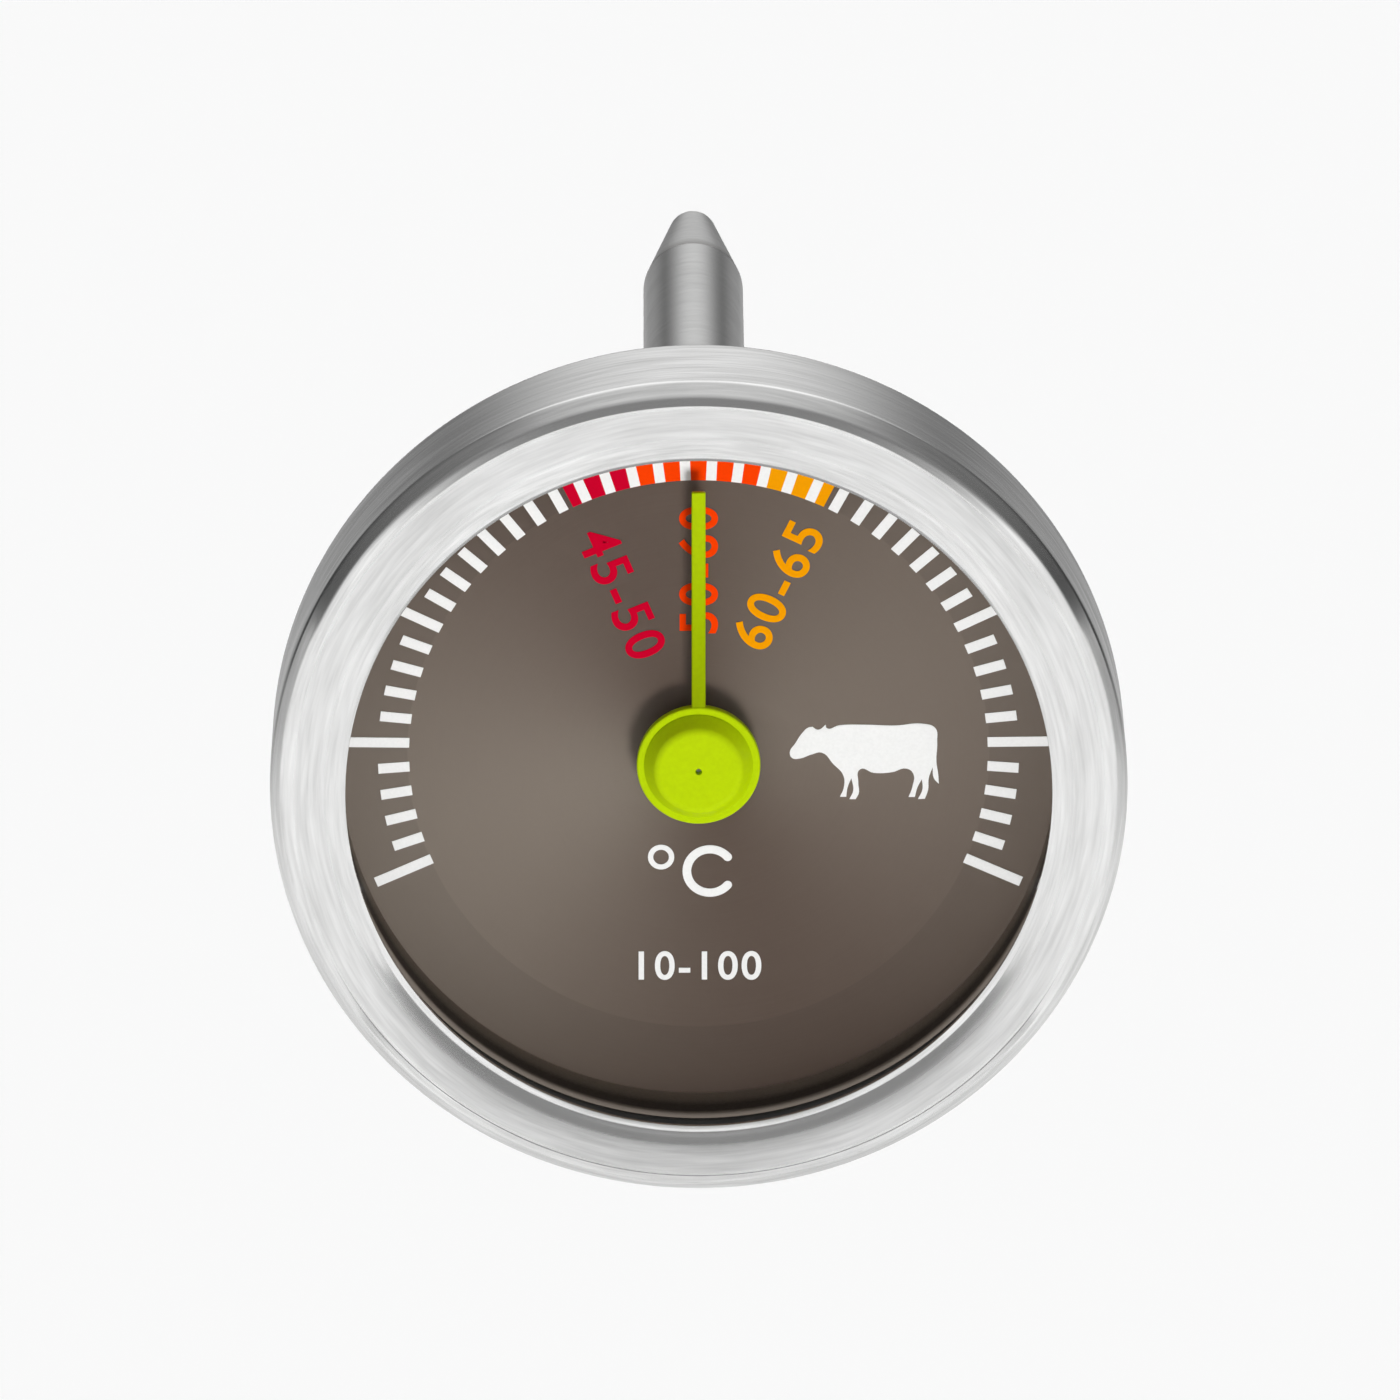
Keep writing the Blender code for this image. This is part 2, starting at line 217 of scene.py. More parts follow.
def brushed_steel(name, length, width, dark=STEEL_DARK, light=STEEL_LIGHT,
                  smooth=0.14, rough=0.24, lines=0.001):
    """Metal brushed round the axis, with broad uneven passes under fine lines; the lines' depth in mm."""
    made, tree, shader = material(name, Metallic=1.0, Anisotropic=0.6, Anisotropic_Rotation=0.25)
    fine = ring_grain(tree, length, width, 2 * width)
    broad = ring_grain(tree, 2 * length, 4 * width, 4 * width)
    grain = blend(tree, fine, broad, BROAD_SHARE)
    colour = tones(tree, grain, (GRAIN_DARK_STOP, dark), (GRAIN_LIGHT_STOP, light))
    tree.links.new(colour, shader.inputs["Base Color"])
    tree.links.new(spread(tree, grain, rough, smooth), shader.inputs["Roughness"])
    tangent = node(tree, "Tangent", direction_type="RADIAL", axis="Y")
    tree.links.new(tangent.outputs[0], shader.inputs["Tangent"])
    relief(tree, shader, fine, lines)
    return made


case_steel = brushed_steel("case_brushed_steel", length=12, width=0.14)
case = turned("case_shell", rounded([
    (BUSH_HOLE_RADIUS, POCKET_FACE, EDGE),
    (POCKET_RADIUS, POCKET_FACE, POCKET_ROUND),
    (POCKET_RADIUS, 0, POCKET_MOUTH_ROUND),
    (CASE_RADIUS, 0, CASE_BACK_ROUND),
    (CASE_RADIUS, CASE_RIM, CASE_RIM_ROUND),
    (CASE_RADIUS - CASE_WALL, CASE_RIM, CASE_RIM_ROUND),
    (CASE_RADIUS - CASE_WALL, -CASE_FLOOR, CASE_FOOT_ROUND),
    (POCKET_RADIUS - CASE_FLOOR, -CASE_FLOOR, EDGE),
    (POCKET_RADIUS - CASE_FLOOR, POCKET_FACE - CASE_FLOOR, CASE_FOOT_ROUND),
    (BUSH_HOLE_RADIUS, POCKET_FACE - CASE_FLOOR, EDGE),
]), case_steel)
carry(case, "housing", "case_steel", "case_cup")

# Bush, seal and lock ring: what fixes the probe in the case's back.
# The flanged steel bush passes through the pocket; a silicone washer and a pressed-on ring hold it.
bush_low, bush_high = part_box("stem_bush")
seal_low, seal_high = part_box("back_seal")
ring_low, ring_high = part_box("lock_ring")
tube_low, tube_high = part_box("stem_tube")
FIT = 0.02
BUSH_WALL = 0.5
BUSH_FLANGE_THICKNESS = 0.42
BUSH_END_ROUND = 0.15
FLANGE_ROOT_ROUND = 0.04
FINE_EDGE = 0.03
LOCK_RING_ROUND = 0.18
LOCK_RING_FOOT_ROUND = 0.1
LOCK_RING_BORE_ROUND = 0.08
SEAL_ROUND = 0.12
SEAL_BORE_ROUND = 0.06
SILICONE_DARK = (0.012, 0.012, 0.012, 1)
SILICONE_LIGHT = (0.026, 0.025, 0.024, 1)
bush_bore = tube_high.x / MM + FIT
bush_radius = bush_bore + BUSH_WALL
flange_back = bush_low.y / MM + BUSH_FLANGE_THICKNESS

turned_steel = brushed_steel("turned_steel", length=60, width=0.05, rough=0.3)
bush = turned("probe_bush", rounded([
    (bush_bore, bush_high.y / MM, EDGE),
    (bush_radius, bush_high.y / MM, BUSH_END_ROUND),
    (bush_radius, flange_back, FLANGE_ROOT_ROUND),
    (bush_high.x / MM, flange_back, EDGE),
    (bush_high.x / MM, bush_low.y / MM, EDGE),
    (bush_bore, bush_low.y / MM, FINE_EDGE),
]), turned_steel, steps=160)
carry(bush, "housing", "probe_steel", "stem_bush")

lock_ring = turned("bush_lock_ring", rounded([
    (bush_radius + FIT, ring_high.y / MM, LOCK_RING_BORE_ROUND),
    (ring_high.x / MM, ring_high.y / MM, LOCK_RING_ROUND),
    (ring_high.x / MM, ring_low.y / MM, LOCK_RING_FOOT_ROUND),
    (bush_radius + FIT, ring_low.y / MM, EDGE),
]), turned_steel, steps=160)
carry(lock_ring, "housing", "probe_steel", "lock_ring")


def grained(name, dark, light, size, smooth, rough, bump, **values):
    """A moulded or painted finish: cloudy grain in its colour, gloss and surface; sizes in mm."""
    made, tree, shader = material(name, **values)
    place = node(tree, "TexCoord").outputs["Object"]
    grain = node(tree, "TexNoise", {"Vector": place, "Scale": 1 / (size * MM), "Detail": 4.0}).outputs[0]
    colour = tones(tree, grain, (NOISE_LOW, dark), (NOISE_HIGH, light))
    tree.links.new(colour, shader.inputs["Base Color"])
    tree.links.new(spread(tree, grain, smooth, rough), shader.inputs["Roughness"])
    relief(tree, shader, grain, bump)
    return made


silicone = grained("black_silicone", SILICONE_DARK, SILICONE_LIGHT,
                   size=0.12, smooth=0.55, rough=0.75, bump=0.004)
seal = turned("back_washer", rounded([
    (bush_radius + FIT, seal_high.y / MM, SEAL_BORE_ROUND),
    (seal_high.x / MM, seal_high.y / MM, SEAL_ROUND),
    (seal_high.x / MM, seal_low.y / MM, SEAL_ROUND),
    (bush_radius + FIT, seal_low.y / MM, SEAL_BORE_ROUND),
]), silicone, steps=160)
carry(seal, "housing", "silicone", "back_seal")

# Probe: the tube that goes into the meat, and the pointed plug that closes its end.
# Stainless steel, centreless ground. The tip is turned and pressed in by its spigot, and is darker towards
# their joint.
tip_low, tip_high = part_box("probe_tip")
STEM_RADIUS = tube_high.x / MM
STEM_WALL = 0.25
NOSE_RADIUS = 0.87
NOSE_STEPS = 24
TIP_SEAM_ROUND = 0.02
SPIGOT_LEAD_ROUND = 0.1
FACE_GAP = 0.01
JOINT_DARKENING = (0.62, 0.61, 0.6, 1)
JOINT_DARKENING_LENGTH = 1.1
PROBE_STEEL_DARK = (0.52, 0.52, 0.515, 1)
PROBE_STEEL_LIGHT = (0.64, 0.64, 0.635, 1)
POINT_STEEL_DARK = (0.62, 0.62, 0.615, 1)
POINT_STEEL_LIGHT = (0.78, 0.78, 0.775, 1)
tip_end = tip_high.y / MM
tip_shoulder = tube_high.y / MM + FACE_GAP
spigot_front = tip_low.y / MM


def darken_towards_joint(finish):
    """Darkens a steel towards the joint of tube and tip."""
    tree = finish.node_tree
    shader = tree.nodes["Principled BSDF"]
    clean = shader.inputs["Base Color"].links[0].from_socket
    axial = node(tree, "SeparateXYZ", {0: node(tree, "TexCoord").outputs["Object"]}).outputs["Y"]
    near = spread(tree, axial, 1, 0, tip_shoulder * MM, (tip_shoulder + JOINT_DARKENING_LENGTH) * MM)
    darkened = node(tree, "Mix", {"Factor": near, 6: clean, 7: JOINT_DARKENING},
                  data_type="RGBA", blend_type="MULTIPLY")
    tree.links.new(darkened.outputs[2], shader.inputs["Base Color"])


probe_steel = brushed_steel("ground_probe_steel", length=40, width=0.25, dark=PROBE_STEEL_DARK,
                            light=PROBE_STEEL_LIGHT, smooth=0.12, rough=0.17, lines=0.0002)
point_steel = brushed_steel("ground_point_steel", length=25, width=0.2, dark=POINT_STEEL_DARK,
                            light=POINT_STEEL_LIGHT, smooth=0.3, rough=0.38, lines=0.001)
darken_towards_joint(point_steel)
tube = turned("probe_tube", rounded([
    (STEM_RADIUS - STEM_WALL, tube_high.y / MM, FINE_EDGE),
    (STEM_RADIUS, tube_high.y / MM, TIP_SEAM_ROUND),
    (STEM_RADIUS, tube_low.y / MM, EDGE),
    (STEM_RADIUS - STEM_WALL, tube_low.y / MM, FINE_EDGE),
]), probe_steel, steps=160)
carry(tube, "housing", "probe_steel", "stem_tube")

nose_place = tip_end - NOSE_RADIUS
reach = nose_place - tip_shoulder
cone_angle = math.acos(NOSE_RADIUS / math.hypot(STEM_RADIUS, reach)) - math.atan2(reach, STEM_RADIUS)
nose = [(0, tip_end)]
for step in range(1, NOSE_STEPS + 1):
    angle = math.pi / 2 + (cone_angle - math.pi / 2) * step / NOSE_STEPS
    nose.append((NOSE_RADIUS * math.cos(angle), nose_place + NOSE_RADIUS * math.sin(angle)))
spigot_radius = STEM_RADIUS - STEM_WALL - FIT
shank = rounded([
    (*nose[-1], 0),
    (STEM_RADIUS, tip_shoulder, TIP_SEAM_ROUND),
    (spigot_radius, tip_shoulder, FINE_EDGE),
    (spigot_radius, spigot_front, SPIGOT_LEAD_ROUND),
    (0, spigot_front, 0),
], ring=False)
tip = turned("probe_point", nose[:-1] + shank, point_steel, steps=160, ring=False)
carry(tip, "housing", "probe_steel", "probe_tip")

# Movement: the bimetal helix with anchor and head, the spindle with two guides and a collet, and the dial's
# pad. Turned brass and drawn steel, and silicone for the pad. All are hidden, so the CAD nodes stay and only
# get a finish.
BRASS_DARK = (0.58, 0.4, 0.16, 1)
BRASS_LIGHT = (0.78, 0.58, 0.27, 1)
DRAWN_DARK = (0.5, 0.49, 0.47, 1)
DRAWN_LIGHT = (0.68, 0.67, 0.64, 1)
movement_brass = brushed_steel("turned_brass", length=50, width=0.05, dark=BRASS_DARK, light=BRASS_LIGHT,
                               smooth=0.25, rough=0.38)
movement_steel = brushed_steel("drawn_steel", length=50, width=0.04, dark=DRAWN_DARK, light=DRAWN_LIGHT,
                               smooth=0.22, rough=0.36)
MOVEMENT_FINISH = {
    "bimetal_helix": movement_steel,
    "spindle": movement_steel,
    "helix_anchor": movement_brass,
    "helix_head": movement_brass,
    "spindle_guide_upper": movement_brass,
    "spindle_guide_lower": movement_brass,
    "pointer_collet": movement_brass,
    "dial_pad": silicone,
}
for name, finish in MOVEMENT_FINISH.items():
    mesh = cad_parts[name].data
    mesh.materials.clear()
    mesh.materials.append(finish)

# Dial plate: a thin disc, flat in the middle, with a rim that rises gently towards the glass.
# Aluminium, spun and lacquered taupe, with a painted sheen of two light fans in its colour; the rim's lacquer
# is darker.
_, dial_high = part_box("dial_plate")
DIAL_RADIUS = dial_high.x / MM
DIAL_THICKNESS = 0.15
DIAL_RISE = 0.3
DIAL_FLAT_RADIUS = 9.56
DIAL_HOLE_RADIUS = 1.0
dial_back = dial_high.y / MM
dial_front = dial_back - DIAL_THICKNESS
TAUPE_DARK = (0.097, 0.067, 0.052, 1)
# Painted sheen: the lacquer's colour at the middle of the two light fans.
TAUPE_PAINTED_SHEEN = (0.212, 0.177, 0.145, 1)
RIM_SHADE = (0.88, 0.88, 0.88, 1)
RIM_BLEND = 0.02
# Painted sheen: how much weaker the right fan is, and the direction of the fans from the top.
PAINTED_SHEEN_RIGHT = 0.68
PAINTED_SHEEN_ANGLE = math.radians(72)
FINE_SHARE = 0.12
DIAL_SMOOTH = 0.42
DIAL_ROUGH = 0.5
DIAL_RINGS = 0.0006
CRISP = 0.02


def dial_lacquer():
    """Lacquer over spun metal: fine rings, a painted sheen of two light fans across the dial, weaker on the
    right, and a darker rim.
    """
    made, tree, shader = material("taupe_lacquer_painted_sheen", Metallic=0.25, Anisotropic=0.8,
                                  Anisotropic_Rotation=0.25)
    fine = ring_grain(tree, length=30, width=0.05)
    _, radius, direction = round_axis(tree)
    # The two light fans are painted sheen in the base colour, weaker on the right side of the dial.
    painted_sheen = (math.sin(PAINTED_SHEEN_ANGLE), 0, math.cos(PAINTED_SHEEN_ANGLE))
    painted_sheen = node(tree, "VectorMath", {0: direction, 1: painted_sheen}, operation="DOT_PRODUCT").outputs["Value"]
    share = spread(tree, painted_sheen, 1, PAINTED_SHEEN_RIGHT, 0, 1)
    painted_sheen = node(tree, "Math", {0: painted_sheen, 1: painted_sheen}, operation="MULTIPLY").outputs[0]
    painted_sheen = node(tree, "Math", {0: painted_sheen, 1: share}, operation="MULTIPLY").outputs[0]
    inner = tones(tree, blend(tree, painted_sheen, fine, FINE_SHARE), (0.0, TAUPE_DARK), (1.0, TAUPE_PAINTED_SHEEN))
    on_rim = spread(tree, radius, 0, 1,
                    (DIAL_FLAT_RADIUS - RIM_BLEND) * MM, (DIAL_FLAT_RADIUS + RIM_BLEND) * MM)
    colour = node(tree, "Mix", {"Factor": on_rim, 6: inner, 7: RIM_SHADE},
                  data_type="RGBA", blend_type="MULTIPLY")
    tree.links.new(colour.outputs[2], shader.inputs["Base Color"])
    tree.links.new(spread(tree, fine, DIAL_SMOOTH, DIAL_ROUGH), shader.inputs["Roughness"])
    tangent = node(tree, "Tangent", direction_type="RADIAL", axis="Y")
    tree.links.new(tangent.outputs[0], shader.inputs["Tangent"])
    relief(tree, shader, fine, DIAL_RINGS)
    return made


dial = turned("dial_face", rounded([
    (DIAL_FLAT_RADIUS, dial_back, 0),
    (DIAL_RADIUS, dial_back - DIAL_RISE, CRISP),
    (DIAL_RADIUS, dial_front - DIAL_RISE, CRISP),
    (DIAL_FLAT_RADIUS, dial_front, 0),
    (DIAL_HOLE_RADIUS, dial_front, CRISP),
    (DIAL_HOLE_RADIUS, dial_back, CRISP),
]), dial_lacquer())
carry(dial, "housing", "dial_paint", "dial_plate")

# Scale: white ticks five degrees apart round the rim, every fifth one long.
# Pad-printed ink, a few hundredths of a millimetre proud of the lacquer.
INK_THICKNESS = 0.02
TICK_COUNT = 46
TICK_STEP = 5.0
TICKS_PER_LONG = 5
TICK_INNER_RADIUS = 9.5
TICK_WIDTH = 0.34
SHORT_TICK = 1.03
LONG_TICK = 2.0
INK_WHITE = (0.87, 0.87, 0.86, 1)
THIN_INK = 0.95
rim_slope = DIAL_RISE / (DIAL_RADIUS - DIAL_FLAT_RADIUS)


def ink(name, colour):
    """Printing ink: its colour a little thinner in places, with a fine satin surface."""
    thin = (*(THIN_INK * part for part in colour[:3]), 1)
    return grained(name, thin, colour, size=0.09, smooth=0.5, rough=0.62, bump=0.0015,
                   Specular_IOR_Level=0.05)


def geometry_tree(name, **sizes):
    """An empty Geometry Nodes tree with a geometry output and one named input for each size."""
    tree = bpy.data.node_groups.new(name, "GeometryNodeTree")
    tree.interface.new_socket("Geometry", in_out="OUTPUT", socket_type="NodeSocketGeometry")
    inputs = {}
    for label, value in sizes.items():
        kind = "NodeSocketInt" if isinstance(value, int) else "NodeSocketFloat"
        inputs[label] = tree.interface.new_socket(label, in_out="INPUT", socket_type=kind).identifier
    return tree, inputs


def ticks_tree(finish):
    """Bars set round the rim, tilted with it: each is a unit cube, scaled and turned to its place."""
    sizes = {"count": TICK_COUNT, "step": math.radians(TICK_STEP), "long_every": TICKS_PER_LONG,
             "inner_radius": TICK_INNER_RADIUS * MM, "width": TICK_WIDTH * MM,
             "thickness": INK_THICKNESS * MM, "short": SHORT_TICK * MM, "long": LONG_TICK * MM,
             "slope": rim_slope, "flat_radius": DIAL_FLAT_RADIUS * MM, "flat_place": dial_front * MM}
    tree, identifiers = geometry_tree("scale_ticks", **sizes)
    given = tree.nodes.new("NodeGroupInput").outputs

    def add(kind, inputs=None, **settings):
        made = tree.nodes.new(kind)
        for name, value in settings.items():
            setattr(made, name, value)
        for name, value in (inputs or {}).items():
            if isinstance(value, bpy.types.NodeSocket):
                tree.links.new(value, made.inputs[name])
            else:
                made.inputs[name].default_value = value
        return made.outputs[0]

    def maths(operation, first, second=0.0):
        return add("ShaderNodeMath", {0: first, 1: second}, operation=operation)

    index = add("GeometryNodeInputIndex")
    middle = maths("MULTIPLY", maths("SUBTRACT", given["count"], 1.0), 0.5)
    angle = maths("MULTIPLY", maths("SUBTRACT", index, middle), given["step"])
    is_long = maths("LESS_THAN", maths("MODULO", index, given["long_every"]), 0.5)
    extra = maths("MULTIPLY", is_long, maths("SUBTRACT", given["long"], given["short"]))
    length = maths("ADD", given["short"], extra)
    radius = maths("ADD", given["inner_radius"], maths("MULTIPLY", length, 0.5))
    rise = maths("MULTIPLY", maths("SUBTRACT", radius, given["flat_radius"]), given["slope"])
    proud = maths("ADD", rise, maths("MULTIPLY", given["thickness"], 0.5))
    place = add("ShaderNodeCombineXYZ", {
        "X": maths("MULTIPLY", radius, maths("SINE", angle)),
        "Y": maths("SUBTRACT", given["flat_place"], proud),
        "Z": maths("MULTIPLY", radius, maths("COSINE", angle))})
    points = add("GeometryNodePoints", {"Count": given["count"], "Position": place})
    tilt = maths("ARCTANGENT", given["slope"])
    turn = add("ShaderNodeCombineXYZ", {"X": tilt, "Y": angle})
    turn = add("FunctionNodeEulerToRotation", {0: turn})
    size = add("ShaderNodeCombineXYZ", {"X": given["width"], "Y": given["thickness"], "Z": length})
    bar = add("GeometryNodeMeshCube", {"Size": (1, 1, 1)})
    bars = add("GeometryNodeInstanceOnPoints",
               {"Points": points, "Instance": bar, "Rotation": turn, "Scale": size})
    bars = add("GeometryNodeRealizeInstances", {0: bars})
    bars = add("GeometryNodeSetMaterial", {"Geometry": bars, "Material": finish})
    tree.links.new(bars, tree.nodes.new("NodeGroupOutput").inputs[0])
    return tree, {identifiers[label]: value for label, value in sizes.items()}


def grown(name, tree, values):
    """The plain mesh that a Geometry Nodes tree makes, as a new object."""
    seed = bpy.data.objects.new(name, bpy.data.meshes.new(name))
    bpy.context.scene.collection.objects.link(seed)
    modifier = seed.modifiers.new("Grow", "NODES")
    modifier.node_group = tree
    for identifier, value in values.items():
        modifier[identifier] = value
    evaluated = seed.evaluated_get(bpy.context.evaluated_depsgraph_get())
    mesh = bpy.data.meshes.new_from_object(evaluated)
    seed.modifiers.clear()
    seed.data = mesh
    return seed


white_ink = ink("white_ink", INK_WHITE)
ticks = grown("scale_ticks", *ticks_tree(white_ink))
carry(ticks, "housing", "dial_paint")

# Doneness bands: red, orange and amber fields between the ticks at the top of the scale.
# The same pad-printed ink, one pass for each colour, under the white ticks.
RED = (0.56, 0.0, 0.022, 1)
ORANGE = (0.92, 0.05, 0.0, 1)
AMBER = (0.87, 0.33, 0.0, 1)
BAND_OUTER_RADIUS = 11.7
BAND_THICKNESS = 0.012
BAND_STEPS = 12
BANDS = {
    "red_band": (-25.5, -12.5, RED),
    "orange_band": (-12.5, 12.5, ORANGE),
    "amber_band": (12.5, 25.5, AMBER),
}
inks = {name: ink(name.replace("band", "ink"), colour) for name, (_, _, colour) in BANDS.items()}


def rim_place(radius, lift):
    """The place along the axis of a point that is proud of the dial's rim by a lift."""
    return dial_front - max(0.0, radius - DIAL_FLAT_RADIUS) * rim_slope - lift


for name, (start, end, _) in BANDS.items():
    bm = bmesh.new()
    rows = []
    for step in range(BAND_STEPS + 1):
        angle = math.radians(start + (end - start) * step / BAND_STEPS)
        row = []
        for radius, lift in ((TICK_INNER_RADIUS, 0), (BAND_OUTER_RADIUS, 0),
                             (BAND_OUTER_RADIUS, BAND_THICKNESS), (TICK_INNER_RADIUS, BAND_THICKNESS)):
            spot = Vector((radius * math.sin(angle), rim_place(radius, lift), radius * math.cos(angle)))
            row.append(bm.verts.new(spot * MM))
        rows.append(row)
    for row, following in zip(rows, rows[1:]):
        for corner in range(4):
            after = (corner + 1) % 4
            bm.faces.new((row[corner], row[after], following[after], following[corner]))
    bm.faces.new(rows[0])
    bm.faces.new(reversed(rows[-1]))
    carry(smooth_piece(name, bm, inks[name]), "housing", "dial_paint")

# Figures: the temperatures of the three bands, and the whole range at the foot of the dial.
# Printed like the scale, each band's figures in the band's own ink and set along the dial's radius.
FIGURE_HEIGHT = 1.35
FIGURE_WEIGHT = 0.015
FIGURE_SPACING = 1.12
RED_FIGURES = ("45-50", FIGURE_HEIGHT, -2.5, 5.6, 67)
ORANGE_FIGURES = ("50-60", 0.95 * FIGURE_HEIGHT, 0.0, 6.4, -90)
AMBER_FIGURES = ("60-65", FIGURE_HEIGHT, 2.6, 5.85, -64)
RANGE_FIGURES = ("10-100", 0.75 * FIGURE_HEIGHT, 0.05, -7.4, 0)


def printed(name, curve, height, x, z, turn, finish):
    """A flat curve printed on the dial: its height and middle in mm, turned clockwise in degrees."""
    curve.extrude = 0.5
    draft = bpy.data.objects.new(name, curve)
    bpy.context.scene.collection.objects.link(draft)
    mesh = bpy.data.meshes.new_from_object(draft.evaluated_get(bpy.context.evaluated_depsgraph_get()))
    bpy.data.objects.remove(draft)
    low = Vector([min(v.co[axis] for v in mesh.vertices) for axis in range(3)])
    high = Vector([max(v.co[axis] for v in mesh.vertices) for axis in range(3)])
    scale = height * MM / (high.y - low.y)
    mesh.transform(Matrix.Translation((low + high) / -2))
    mesh.transform(Matrix.Diagonal((scale, scale, INK_THICKNESS * MM, 1)))
    upright = Matrix.Rotation(math.radians(turn), 4, "Y") @ Matrix.Rotation(math.radians(90), 4, "X")
    mesh.transform(Matrix.Translation(Vector((x, dial_front - INK_THICKNESS / 2, z)) * MM) @ upright)
    bm = bmesh.new()
    bm.from_mesh(mesh)
    piece = smooth_piece(name, bm, finish)
    carry(piece, "housing", "dial_paint")


def printed_text(name, words, height, x, z, turn, finish):
    """Figures on the dial: their height and middle in mm, turned clockwise in degrees."""
    curve = bpy.data.curves.new(name, "FONT")
    curve.body = words
    curve.offset = FIGURE_WEIGHT
    curve.space_character = FIGURE_SPACING
    printed(name, curve, height, x, z, turn, finish)


printed_text("red_figures", *RED_FIGURES, inks["red_band"])
printed_text("orange_figures", *ORANGE_FIGURES, inks["orange_band"])
printed_text("amber_figures", *AMBER_FIGURES, inks["amber_band"])
printed_text("range_figures", *RANGE_FIGURES, white_ink)

# Unit: a degree ring and an open ring for Celsius, in white strokes under the pointer's hub.
# Printed with the scale, with rounded stroke ends.
DEGREE_PLACE = (-1.23, -3.59)
DEGREE_RADIUS = 0.345
DEGREE_STROKE = 0.175
CELSIUS_PLACE = (0.29, -4.08)
CELSIUS_RADIUS = 0.76
CELSIUS_STROKE = 0.285
CELSIUS_OPENING = 80
STROKE_STEPS = 64
STROKE_END_STEPS = 12


def printed_stroke(name, place, radius, width, opening):
    """A round stroke on the dial, closed or open at its right by an angle in degrees, with round ends."""
    curve = bpy.data.curves.new(name, "CURVE")
    curve.dimensions = "2D"
    curve.fill_mode = "BOTH"

    def outline(points):
        spline = curve.splines.new("POLY")
        spline.points.add(len(points) - 1)
        for point, (x, y) in zip(spline.points, points):
            point.co = (x, y, 0, 1)
        spline.use_cyclic_u = True

    def arc(x, y, size, start, end, steps=STROKE_STEPS):
        angles = [math.radians(start + (end - start) * i / steps) for i in range(steps)]
        return [(x + size * math.cos(angle), y + size * math.sin(angle)) for angle in angles]

    outer = radius + width / 2
    inner = radius - width / 2
    half = opening / 2
    if opening:
        across = radius * math.cos(math.radians(half))
        down = radius * math.sin(math.radians(half))
        outline(arc(0, 0, outer, half, 360 - half)
                + arc(across, -down, width / 2, -half, 180 - half, STROKE_END_STEPS)
                + arc(0, 0, inner, 360 - half, half)
                + arc(across, down, width / 2, 180 + half, 360 + half, STROKE_END_STEPS))
    else:
        outline(arc(0, 0, outer, 0, 360))
        outline(arc(0, 0, inner, 0, 360))
    printed(name, curve, 2 * outer, *place, 0, white_ink)


printed_stroke("degree_ring", DEGREE_PLACE, DEGREE_RADIUS, DEGREE_STROKE, 0)
printed_stroke("celsius_ring", CELSIUS_PLACE, CELSIUS_RADIUS, CELSIUS_STROKE, CELSIUS_OPENING)

# Cow: a plain pictogram at the right of the hub, standing and facing left.
# A filled outline in the scale's white ink; corners are hooves, horn, ear and the tail's tuft.
COW_PLACE = (5.45, -0.25)
COW_HEIGHT = 2.64
COW_STEPS = 6
SMOOTH = "AUTO"
CORNER = "VECTOR"
COW_OUTLINE = [
    (0.4, 16.2, SMOOTH), (2.2, 19.4, SMOOTH), (4.2, 22.6, SMOOTH), (6.2, 24.6, SMOOTH),
    (7.6, 24.9, CORNER), (9.4, 23.9, SMOOTH), (11.8, 25.6, CORNER), (12.2, 24.4, SMOOTH),
    (16.0, 25.4, SMOOTH), (24.0, 25.6, SMOOTH), (34.0, 25.3, SMOOTH), (42.5, 25.9, SMOOTH),
    (46.6, 24.4, SMOOTH), (47.2, 20.0, SMOOTH), (47.0, 13.0, SMOOTH), (47.6, 8.8, SMOOTH),
    (47.8, 5.6, CORNER), (46.2, 7.6, SMOOTH), (45.8, 11.2, CORNER), (44.6, 7.6, SMOOTH),
    (44.4, 3.6, SMOOTH), (43.4, 0.6, CORNER), (41.2, 0.5, CORNER), (42.6, 3.8, SMOOTH),
    (42.4, 7.2, CORNER), (41.0, 4.4, SMOOTH), (40.2, 1.2, CORNER), (38.2, 1.2, CORNER),
    (39.4, 4.6, SMOOTH), (39.6, 9.2, SMOOTH), (37.4, 10.8, SMOOTH), (33.0, 9.6, SMOOTH),
    (27.0, 9.4, SMOOTH), (22.8, 10.6, SMOOTH), (22.2, 6.0, SMOOTH), (22.4, 2.6, SMOOTH),
    (21.4, 0.5, CORNER), (19.4, 0.5, CORNER), (20.6, 3.4, SMOOTH), (20.0, 7.6, CORNER),
    (18.8, 4.4, SMOOTH), (18.4, 1.3, CORNER), (16.4, 1.3, CORNER), (17.6, 4.4, SMOOTH),
    (17.4, 8.6, SMOOTH), (14.2, 12.4, SMOOTH), (10.6, 16.2, SMOOTH), (7.4, 15.6, SMOOTH),
    (3.4, 14.2, SMOOTH), (1.2, 14.4, SMOOTH),
]
cow_curve = bpy.data.curves.new("cow", "CURVE")
cow_curve.dimensions = "2D"
cow_curve.fill_mode = "BOTH"
cow_curve.resolution_u = COW_STEPS
cow_line = cow_curve.splines.new("BEZIER")
cow_line.bezier_points.add(len(COW_OUTLINE) - 1)
for point, (x, y, kind) in zip(cow_line.bezier_points, COW_OUTLINE):
    point.co = (x, y, 0)
    point.handle_left_type = kind
    point.handle_right_type = kind
cow_line.use_cyclic_u = True
printed("cow", cow_curve, COW_HEIGHT, *COW_PLACE, 0, white_ink)

